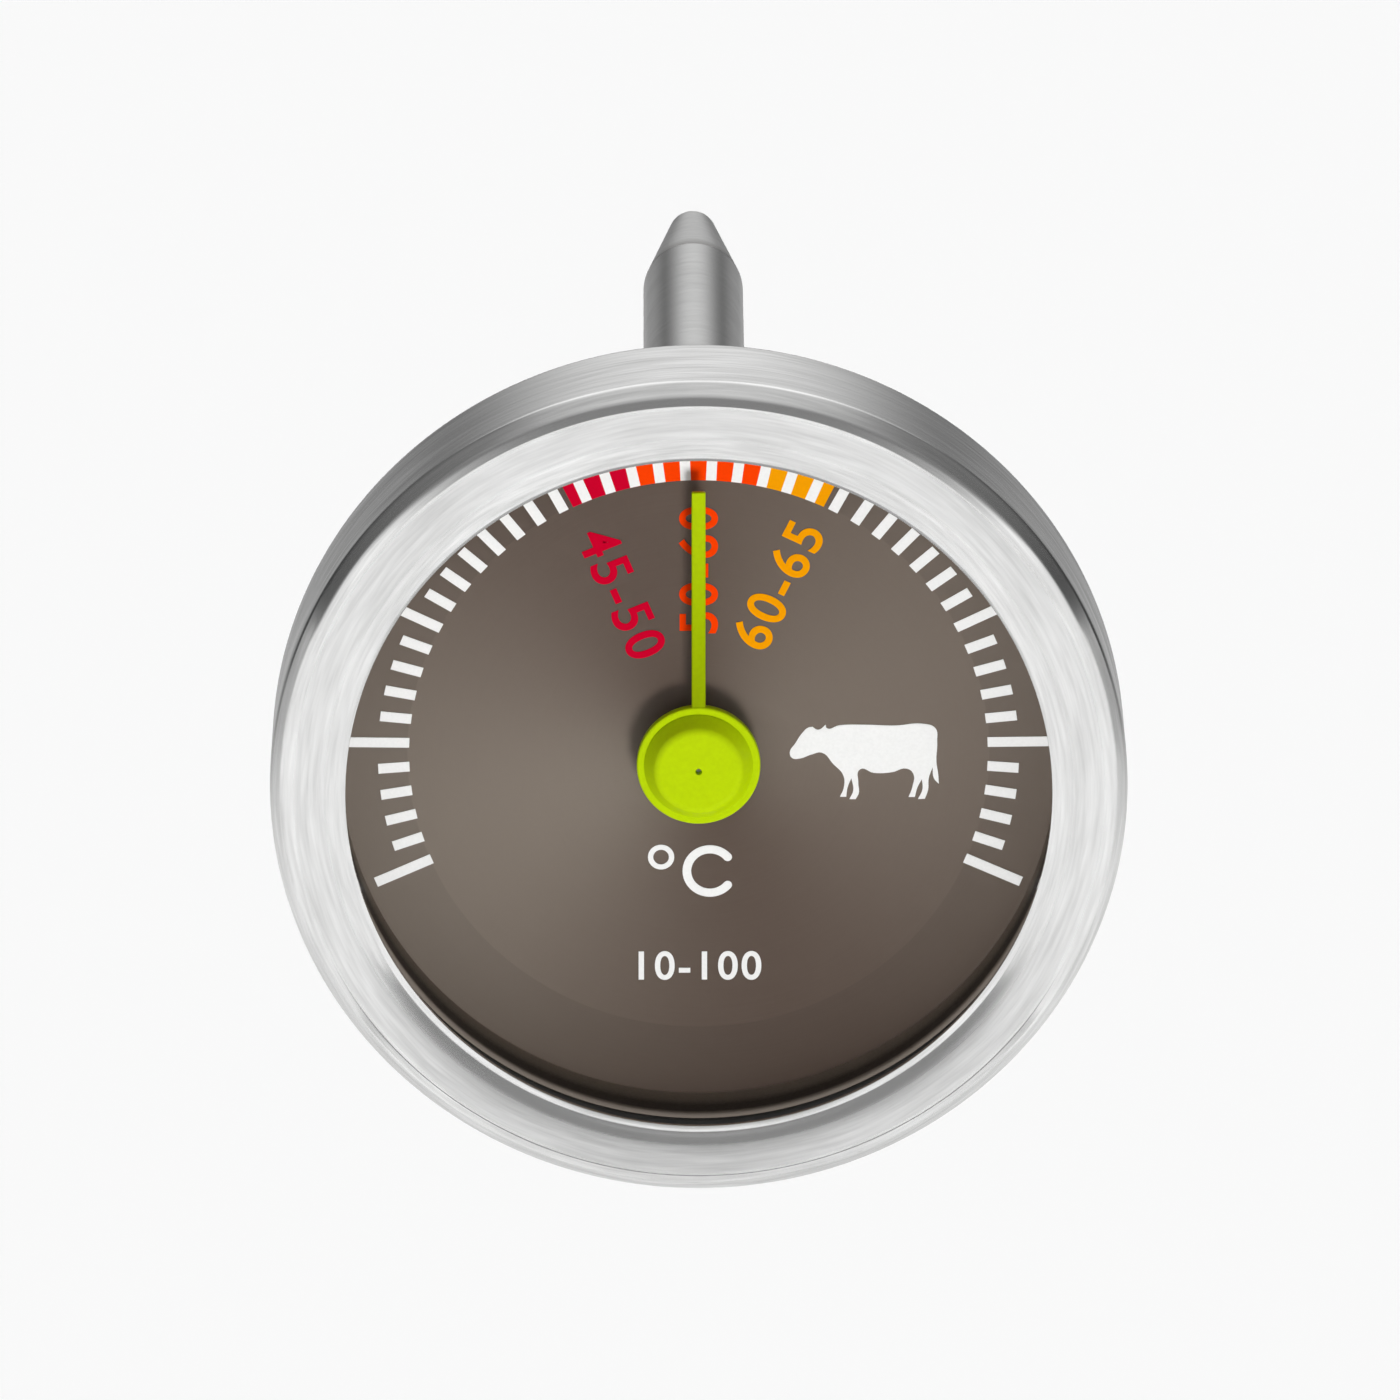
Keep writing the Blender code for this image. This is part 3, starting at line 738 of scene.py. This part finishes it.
# Pointer: a disc with a long arm, and a raised boss with a pinhole over the spindle's end.
# Moulded plastic in lime green, pressed on the collet; it turns with the spindle.
hand_low, hand_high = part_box("pointer_hand")
boss_low, boss_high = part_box("pointer_boss")
DISC_RADIUS = hand_high.x / MM
DISC_BORE = 0.69
DISC_BACK_ROUND = 0.06
DISC_FRONT_ROUND = 0.08
ARM_WIDTH = 0.46
ARM_THICKNESS = 0.2
ARM_SETBACK = 0.06
ARM_BEVEL = 0.05
PINHOLE_RADIUS = 0.1
BOSS_BORE = 0.37
BOSS_COVER = 0.3
BOSS_TOP_RADIUS = 1.4
BOSS_ROUND = 0.32
LIME = (0.46, 0.63, 0.0, 1)
LIME_LOW = (0.43, 0.59, 0.0, 1)
lime_plastic = grained("lime_plastic", LIME_LOW, LIME, size=0.15, smooth=0.38, rough=0.5, bump=0.0015,
                       Specular_IOR_Level=0.12)

disc = turned("pointer_disc_and_arm", rounded([
    (DISC_BORE, hand_high.y / MM, CRISP),
    (DISC_RADIUS, hand_high.y / MM, DISC_BACK_ROUND),
    (DISC_RADIUS, hand_low.y / MM, DISC_FRONT_ROUND),
    (DISC_BORE, hand_low.y / MM, CRISP),
]), lime_plastic, steps=128)
arm_back = hand_low.y / MM + ARM_SETBACK + ARM_THICKNESS
arm_root = DISC_BORE + ARM_WIDTH / 2
arm_end = hand_high.z / MM
arm_middle = Vector((0, arm_back - ARM_THICKNESS / 2, (arm_end + arm_root) / 2)) * MM
bm = bmesh.new()
bmesh.ops.create_cube(bm, size=MM)
bmesh.ops.scale(bm, vec=(ARM_WIDTH, ARM_THICKNESS, arm_end - arm_root), verts=bm.verts)
bmesh.ops.translate(bm, vec=arm_middle, verts=bm.verts)
bmesh.ops.bevel(bm, geom=bm.edges, offset=ARM_BEVEL * MM, segments=3, profile=0.5, affect="EDGES")
arm = smooth_piece("arm", bm, lime_plastic)
join = disc.modifiers.new("Arm", "BOOLEAN")
join.operation = "UNION"
join.object = arm
disc.data = bpy.data.meshes.new_from_object(disc.evaluated_get(bpy.context.evaluated_depsgraph_get()))
disc.modifiers.clear()
bpy.data.objects.remove(arm)
carry(disc, "pointer", "pointer_paint", "pointer_hand")

cover_back = boss_low.y / MM + BOSS_COVER
boss = turned("pointer_boss_cap", rounded([
    (boss_high.x / MM, boss_high.y / MM, CRISP),
    (BOSS_TOP_RADIUS, boss_low.y / MM, BOSS_ROUND),
    (PINHOLE_RADIUS, boss_low.y / MM, FINE_EDGE),
    (PINHOLE_RADIUS, cover_back, 0),
    (BOSS_BORE, cover_back, CRISP),
    (BOSS_BORE, boss_high.y / MM, CRISP),
], steps=12), lime_plastic, steps=128)
carry(boss, "pointer", "pointer_paint", "pointer_boss")

# Spacer ring and gasket: the dark wall between the dial and the glass.
# The spacer is moulded plastic, dark taupe, that presses the dial down, with painted shade and a painted
# highlight on its wall; the gasket is black silicone.
# They and the bezel cast no shadow, because the photo's broad light leaves none of theirs on the dial.
spacer_low, spacer_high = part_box("spacer_ring")
gasket_low, gasket_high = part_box("lens_gasket")
SPACER_WALL = 1.19
GASKET_WIDTH = 1.07
SPACER_EDGE = 0.12
SPACER_GRAIN = 0.1
SPACER_GRAIN_SHARE = 0.05
SPACER_BUMP = 0.002
SPACER_SMOOTH = 0.5
SPACER_ROUGH = 0.65
GASKET_LIP_ROUND = 0.1
# Painted shade and highlight on the spacer's wall, from its back by the dial to its front edge.
SPACER_SHADE_AND_HIGHLIGHT_TONES = [
    (0.0, (0.22, 0.18, 0.15, 1)),
    (0.37, (0.14, 0.115, 0.095, 1)),
    (0.6, (0.035, 0.028, 0.023, 1)),
    (0.85, (0.035, 0.028, 0.023, 1)),
    (0.94, (0.2, 0.17, 0.145, 1)),
]


def spacer_finish():
    """Matt dark taupe plastic, its tone painted along the axis: lighter by the dial, painted shade nearly
    black under the glass, and a painted highlight at the front edge.
    """
    made, tree, shader = material("taupe_plastic", Specular_IOR_Level=0.2)
    place = node(tree, "TexCoord").outputs["Object"]
    axial = node(tree, "SeparateXYZ", {0: place}).outputs["Y"]
    grain = node(tree, "TexNoise", {"Vector": place, "Scale": 1 / (SPACER_GRAIN * MM), "Detail": 4.0})
    grain = grain.outputs[0]
    forward = spread(tree, axial, 0, 1, spacer_high.y, spacer_low.y)
    forward = blend(tree, forward, grain, SPACER_GRAIN_SHARE)
    tree.links.new(tones(tree, forward, *SPACER_SHADE_AND_HIGHLIGHT_TONES), shader.inputs["Base Color"])
    tree.links.new(spread(tree, grain, SPACER_SMOOTH, SPACER_ROUGH), shader.inputs["Roughness"])
    relief(tree, shader, grain, SPACER_BUMP)
    return made


spacer = turned("spacer_wall", rounded([
    (spacer_high.x / MM - SPACER_WALL, spacer_high.y / MM, EDGE),
    (spacer_high.x / MM, spacer_high.y / MM, EDGE),
    (spacer_high.x / MM, spacer_low.y / MM, EDGE),
    (spacer_high.x / MM - SPACER_WALL, spacer_low.y / MM, SPACER_EDGE),
]), spacer_finish())
carry(spacer, "housing", "spacer_plastic", "spacer_ring")
spacer.visible_shadow = False
gasket = turned("glass_gasket", rounded([
    (gasket_high.x / MM - GASKET_WIDTH, gasket_high.y / MM, GASKET_LIP_ROUND),
    (gasket_high.x / MM, gasket_high.y / MM, EDGE),
    (gasket_high.x / MM, gasket_low.y / MM, EDGE),
    (gasket_high.x / MM - GASKET_WIDTH, gasket_low.y / MM, GASKET_LIP_ROUND),
]), silicone)
carry(gasket, "housing", "silicone", "lens_gasket")
gasket.visible_shadow = False

# Lens: the flat window over the dial.
# Tempered glass with ground edges, held between the gasket and the bezel's lip.
lens_low, lens_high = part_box("lens")
LENS_CHAMFER = 0.12
GLASS_TINT = (0.97, 0.98, 0.98, 1)
HAZE_SIZE = 2.5
GLASS_SMOOTH = 0.015
GLASS_ROUGH = 0.04
GLARE = 0.6
GLARE_START = 0.32
GLARE_END = 0.92
lens_radius = lens_high.x / MM
lens_front = lens_low.y / MM
lens_back = lens_high.y / MM


def clear_glass():
    """Thin clear glass: seen through when faced, and shining more the flatter it is seen."""
    made, tree, shader = material("clear_glass", Transmission_Weight=1.0, IOR=1.45, Base_Color=GLASS_TINT)
    place = node(tree, "TexCoord").outputs["Object"]
    haze = node(tree, "TexNoise", {"Vector": place, "Scale": 1 / (HAZE_SIZE * MM), "Detail": 3.0}).outputs[0]
    tree.links.new(spread(tree, haze, GLASS_SMOOTH, GLASS_ROUGH), shader.inputs["Roughness"])
    facing = node(tree, "LayerWeight", {"Blend": 0.5}).outputs["Facing"]
    tree.links.new(spread(tree, facing, 0.0, GLARE, GLARE_START, GLARE_END), shader.inputs["Alpha"])
    return made


glass = turned("window_glass", rounded([
    (0, lens_back, 0),
    (lens_radius - LENS_CHAMFER, lens_back, CRISP),
    (lens_radius, lens_back - LENS_CHAMFER, CRISP),
    (lens_radius, lens_front + LENS_CHAMFER, CRISP),
    (lens_radius - LENS_CHAMFER, lens_front, CRISP),
    (0, lens_front, 0),
], ring=False), clear_glass(), ring=False)
carry(glass, "housing", "lens_glass", "lens")

# Bezel: the ring round the glass, with a stepped shoulder, a flat band and a raised inner lip.
# Stainless steel, turned and brushed round the axis, coarser on the band. Its skirt is pressed into the case.
bezel_low, bezel_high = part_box("bezel_ring")
SHOULDER_DEPTH = 0.57
SHOULDER_ROUND = 0.3
SHOULDER_KNEE = (0.368, 0.161)
SHOULDER_KNEE_ROUND = 0.6
SHOULDER_INSET = 0.672
SHOULDER_EDGE = 0.12
BAND_INNER_RADIUS = 12.3
BAND_ROUND = 3.0
LIP_CREST_RADIUS = 11.68
LIP_CREST_ROUND = 0.22
LIP_CREST_SETBACK = 0.06
LIP_RADIUS = 11.52
LIP_RISE = 0.26
LIP_EDGE = 0.06
LIP_THICKNESS = 0.3
LIP_UNDERCUT = 0.28
SKIRT_RADIUS = 13.58
SKIRT_WALL = 0.6
shoulder = CASE_RIM - FACE_GAP
bezel_front = bezel_low.y / MM + LIP_RISE
lip_crest = bezel_low.y / MM + LIP_CREST_SETBACK
lens_seat = lens_front - FACE_GAP
skirt_bore = SKIRT_RADIUS - SKIRT_WALL
band_outer_radius = CASE_RADIUS - SHOULDER_INSET

BEZEL_STEEL_DARK = (0.66, 0.66, 0.655, 1)
BEZEL_STEEL_LIGHT = (0.94, 0.94, 0.935, 1)
BAND_ROUGHNESS = 0.34
BAND_BLEND = 0.15
bezel_steel = brushed_steel("bezel_brushed_steel", length=11, width=0.14,
                            dark=BEZEL_STEEL_DARK, light=BEZEL_STEEL_LIGHT)
bezel_tree = bezel_steel.node_tree
bezel_shader = bezel_tree.nodes["Principled BSDF"]
_, bezel_radius, _ = round_axis(bezel_tree)
inside = spread(bezel_tree, bezel_radius, 1, 0,
                (band_outer_radius - BAND_BLEND) * MM, band_outer_radius * MM)
outside = spread(bezel_tree, bezel_radius, 0, 1,
                 (BAND_INNER_RADIUS - BAND_BLEND) * MM, BAND_INNER_RADIUS * MM)
on_band = node(bezel_tree, "Math", {0: inside, 1: outside}, operation="MULTIPLY").outputs[0]
polish = bezel_shader.inputs["Roughness"].links[0].from_socket
coarse = node(bezel_tree, "Mix", {"Factor": on_band, 2: polish, 3: BAND_ROUGHNESS}, data_type="FLOAT")
bezel_tree.links.new(coarse.outputs[0], bezel_shader.inputs["Roughness"])
bezel = turned("bezel", rounded([
    (SKIRT_RADIUS, bezel_high.y / MM, EDGE),
    (SKIRT_RADIUS, shoulder, CRISP),
    (CASE_RADIUS, shoulder, 0.0),
    (CASE_RADIUS, bezel_front + SHOULDER_DEPTH, SHOULDER_ROUND),
    (CASE_RADIUS - SHOULDER_KNEE[0], bezel_front + SHOULDER_KNEE[1], SHOULDER_KNEE_ROUND),
    (band_outer_radius, bezel_front, SHOULDER_EDGE),
    (BAND_INNER_RADIUS, bezel_front, BAND_ROUND),
    (LIP_CREST_RADIUS, lip_crest, LIP_CREST_ROUND),
    (LIP_RADIUS, lip_crest + LIP_EDGE, FINE_EDGE),
    (LIP_RADIUS, bezel_low.y / MM + LIP_THICKNESS, FINE_EDGE),
    (LIP_RADIUS + LIP_UNDERCUT, bezel_low.y / MM + LIP_THICKNESS, CRISP),
    (LIP_RADIUS + LIP_UNDERCUT, lens_seat, FINE_EDGE),
    (skirt_bore, lens_seat, CRISP),
    (skirt_bore, bezel_high.y / MM, FINE_EDGE),
], steps=10), bezel_steel)
carry(bezel, "housing", "case_steel", "bezel_ring")
bezel.visible_shadow = False

# Floor: a plain pale floor well below the thermometer, so that its shadow falls outside the photo's frame.
# Matt paint; light that bounces off it on to the thermometer is dimmed, as by a dark cloth under the camera.
FLOOR_DROP = 80 * MM
FLOOR_SIZE = 40.0
FLOOR_WHITE = (0.98, 0.98, 0.98, 1)
FLOOR_BOUNCE = (0.35, 0.35, 0.35, 1)


def staged(name, bm, finish):
    """A mesh that belongs to the studio and not to the thermometer."""
    mesh = bpy.data.meshes.new(name)
    bm.to_mesh(mesh)
    bm.free()
    mesh.materials.append(finish)
    made = bpy.data.objects.new(name, mesh)
    bpy.context.scene.collection.objects.link(made)
    return made


floor_paint, floor_tree, floor_shader = material("floor_paint", Roughness=0.9, Specular_IOR_Level=0.0)
ray = node(floor_tree, "LightPath").outputs
seen = ray["Is Camera Ray"]
for other in ("Is Glossy Ray", "Is Transmission Ray"):
    seen = node(floor_tree, "Math", {0: seen, 1: ray[other]}, operation="MAXIMUM").outputs[0]
floor_colour = node(floor_tree, "Mix", {"Factor": seen, 6: FLOOR_BOUNCE, 7: FLOOR_WHITE}, data_type="RGBA")
floor_tree.links.new(floor_colour.outputs[2], floor_shader.inputs["Base Color"])
bm = bmesh.new()
bmesh.ops.create_grid(bm, x_segments=1, y_segments=1, size=FLOOR_SIZE)
bmesh.ops.translate(bm, vec=(0, 0, -FLOOR_DROP), verts=bm.verts)
staged("floor", bm, floor_paint).visible_shadow = False

# Flags: a wide curved card on the floor and round the back and sides, and a small one under the camera.
# Glowing grey cloth that only reflections see: it gives the steel its dark edges, the probe its dark lines
# and the foot of the bezel its grey slope.
FLAG_FLOOR = -79 * MM
FLAG_WALL = 2000 * MM
# Radius, height behind, height at the sides, tone behind, tone at the sides.
FLAG_PROFILE = [
    (2 * MM, FLAG_FLOOR, FLAG_FLOOR, 0.72, 0.72),
    (150 * MM, FLAG_FLOOR, FLAG_FLOOR, 0.65, 0.85),
    (220 * MM, FLAG_FLOOR, FLAG_FLOOR, 0.48, 0.65),
    (450 * MM, FLAG_FLOOR, FLAG_FLOOR, 0.36, 0.25),
    (FLAG_WALL, FLAG_FLOOR, FLAG_FLOOR, 0.33, 0.06),
    (FLAG_WALL, 100 * MM, 200 * MM, 0.26, 0.05),
    (FLAG_WALL, 220 * MM, 540 * MM, 0.2, 0.05),
]
FLAG_BACK_END = 22
FLAG_SIDE_START = 38
FLAG_SIDE_END = 82
FLAG_END = 98
FLAG_END_TONE = 0.85
FLAG_END_HEIGHT = 70 * MM
FLAG_STEPS = 98
# Place along the axis, tone.
UNDER_CARD = [(-13 * MM, 0.85), (-17 * MM, 0.2), (-27 * MM, 0.26), (-42 * MM, 0.7)]
UNDER_CARD_WIDTH = 56 * MM
UNDER_CARD_DROP = 30 * MM


def glowing(name):
    """A material that only glows; also its tree and the socket of its colour."""
    made = bpy.data.materials.new(name)
    made.use_nodes = True
    tree = made.node_tree
    tree.nodes.remove(tree.nodes["Principled BSDF"])
    glow = node(tree, "Emission")
    tree.links.new(glow.outputs[0], tree.nodes["Material Output"].inputs[0])
    return made, tree, glow.inputs["Color"]


def only_reflected(flag):
    """Hides a flag from everything but reflections."""
    flag.visible_camera = False
    flag.visible_diffuse = False
    flag.visible_transmission = False
    flag.visible_shadow = False


flag_paint, flag_tree, flag_colour = glowing("flag_paint")
flag_tree.links.new(node(flag_tree, "VertexColor", layer_name="tone").outputs["Color"], flag_colour)
bm = bmesh.new()
tone_layer = bm.verts.layers.float_color.new("tone")
ribs = []
for step in range(FLAG_STEPS + 1):
    degrees = FLAG_END * (2 * step / FLAG_STEPS - 1)
    turn = math.radians(degrees)
    side = min(1, max(0, (abs(degrees) - FLAG_BACK_END) / (FLAG_SIDE_START - FLAG_BACK_END)))
    end = max(0, (abs(degrees) - FLAG_SIDE_END) / (FLAG_END - FLAG_SIDE_END))
    rib = []
    for radius, back_height, side_height, back_tone, side_tone in FLAG_PROFILE:
        height = back_height + side * (side_height - back_height)
        height += end * (min(height, FLAG_END_HEIGHT) - height)
        rib.append(bm.verts.new((radius * math.sin(turn), radius * math.cos(turn), height)))
        tone = back_tone + side * (side_tone - back_tone)
        tone += end * (FLAG_END_TONE - tone)
        rib[-1][tone_layer] = (tone, tone, tone, 1)
    ribs.append(rib)
for rib, following in zip(ribs, ribs[1:]):
    for i in range(len(rib) - 1):
        bm.faces.new((rib[i], following[i], following[i + 1], rib[i + 1]))
only_reflected(staged("back_flag", bm, flag_paint))

bm = bmesh.new()
tone_layer = bm.verts.layers.float_color.new("tone")
rows = []
for place, tone in UNDER_CARD:
    row = []
    for edge in (-UNDER_CARD_WIDTH / 2, UNDER_CARD_WIDTH / 2):
        row.append(bm.verts.new((edge, place, -UNDER_CARD_DROP)))
        row[-1][tone_layer] = (tone, tone, tone, 1)
    rows.append(row)
for row, following in zip(rows, rows[1:]):
    bm.faces.new((*row, *reversed(following)))
only_reflected(staged("under_flag", bm, flag_paint))

# Dome: a soft studio sky, bright behind the thermometer and low in front, dim above the camera, dark at the
# sides and of the floor's tone along the horizon. Matt surfaces get less of it, so that shadows stay deep.
# Stops are (sine of the height above the horizon, brightness).
DOME_FRONT = [(0.0, 0.945), (0.28, 1.0), (0.4, 0.4), (0.52, 0.2), (0.66, 0.2), (0.8, 0.45), (1.0, 0.7)]
DOME_BACK = [(0.0, 0.945), (0.1, 0.945), (0.105, 0.22), (0.17, 0.24), (0.24, 0.38), (0.31, 0.85),
             (0.38, 1.15), (0.8, 1.15), (1.0, 0.7)]
DOME_SIDE = [(0.0, 0.945), (0.1, 0.945), (0.105, 0.05), (0.25, 0.06), (0.5, 0.13), (0.77, 0.2),
             (0.9, 0.45), (1.0, 0.7)]
FRONT_TO_BACK = (-0.4, 0.6)
MIDDLE_TO_SIDE = (0.27, 0.52)
FRONT_TO_SIDE = (-0.45, -0.2)
DOME_FILL = 0.65


def greys(stops):
    """The stops of a grey colour ramp."""
    return [(position, (tone, tone, tone, 1)) for position, tone in stops]


world = bpy.data.worlds.new("studio")
bpy.context.scene.world = world
world.use_nodes = True
sky = world.node_tree
direction = node(sky, "SeparateXYZ", {0: node(sky, "TexCoord").outputs["Generated"]}).outputs
front_sky = tones(sky, direction["Z"], *greys(DOME_FRONT))
back_sky = tones(sky, direction["Z"], *greys(DOME_BACK))
side_sky = tones(sky, direction["Z"], *greys(DOME_SIDE))
backwards = spread(sky, direction["Y"], 0, 1, *FRONT_TO_BACK)
sideways = node(sky, "Math", {0: direction["X"]}, operation="ABSOLUTE").outputs[0]
sideways = spread(sky, sideways, 0, 1, *MIDDLE_TO_SIDE)
not_in_front = spread(sky, direction["Y"], 0, 1, *FRONT_TO_SIDE)
sideways = node(sky, "Math", {0: sideways, 1: not_in_front}, operation="MULTIPLY").outputs[0]
dome = node(sky, "Mix", {"Factor": backwards, 6: front_sky, 7: back_sky}, data_type="RGBA").outputs[2]
dome = node(sky, "Mix", {"Factor": sideways, 6: dome, 7: side_sky}, data_type="RGBA").outputs[2]
sky.links.new(dome, sky.nodes["Background"].inputs["Color"])
fill = spread(sky, node(sky, "LightPath").outputs["Is Diffuse Ray"], 1, DOME_FILL, 0, 1)
sky.links.new(fill, sky.nodes["Background"].inputs["Strength"])

# Lamps: a soft key from the right and below the dial, as off a table top, and a broad lamp over the back.
# Reflections don't show them, as the photo's metal doesn't.
# Degrees to the right of the dial's axis, degrees above it, strength, width in degrees.
KEY_LAMP = (13, -24, 2.5, 15)
TOP_LAMP = (180, 68, 2.2, 40)


def lamp(name, azimuth, elevation, strength, width):
    """A broad distant lamp."""
    data = bpy.data.lights.new(name, "SUN")
    data.energy = strength
    data.angle = math.radians(width)
    made = bpy.data.objects.new(name, data)
    bpy.context.scene.collection.objects.link(made)
    right = math.radians(azimuth)
    up = math.radians(elevation)
    towards = Vector((math.sin(right) * math.cos(up), -math.cos(right) * math.cos(up), math.sin(up)))
    made.rotation_mode = "QUATERNION"
    made.rotation_quaternion = towards.to_track_quat("Z", "Y")
    made.visible_glossy = False


lamp("key_lamp", *KEY_LAMP)
lamp("top_lamp", *TOP_LAMP)

# Camera: half a metre off, about twenty degrees above the dial's axis, with a long lens.
# Place and aim are fitted to the photo's outlines of case, lip, dial and probe.
CAMERA_DISTANCE = 500 * MM
CAMERA_ELEVATION = math.radians(19.79)
CAMERA_AZIMUTH = math.radians(-0.22)
CAMERA_LENS = 393.8
CAMERA_SENSOR = 36.0
AIM_UP = 2.853 * MM
AIM_RIGHT = 0.039 * MM
camera_data = bpy.data.cameras.new("camera")
camera_data.lens = CAMERA_LENS
camera_data.sensor_width = CAMERA_SENSOR
camera = bpy.data.objects.new("camera", camera_data)
bpy.context.scene.collection.objects.link(camera)
bpy.context.scene.camera = camera
level = math.cos(CAMERA_ELEVATION)
away = Vector((math.sin(CAMERA_AZIMUTH) * level, -math.cos(CAMERA_AZIMUTH) * level,
               math.sin(CAMERA_ELEVATION)))
facing = (-away).to_track_quat("-Z", "Y")
rim_middle = Vector((0, CASE_RIM * MM, 0))
aim = rim_middle + facing @ Vector((AIM_RIGHT, AIM_UP, 0))
camera.location = rim_middle + away * CAMERA_DISTANCE
camera.rotation_mode = "QUATERNION"
camera.rotation_quaternion = (aim - camera.location).to_track_quat("-Z", "Y")
bpy.context.scene.view_settings.view_transform = "Standard"
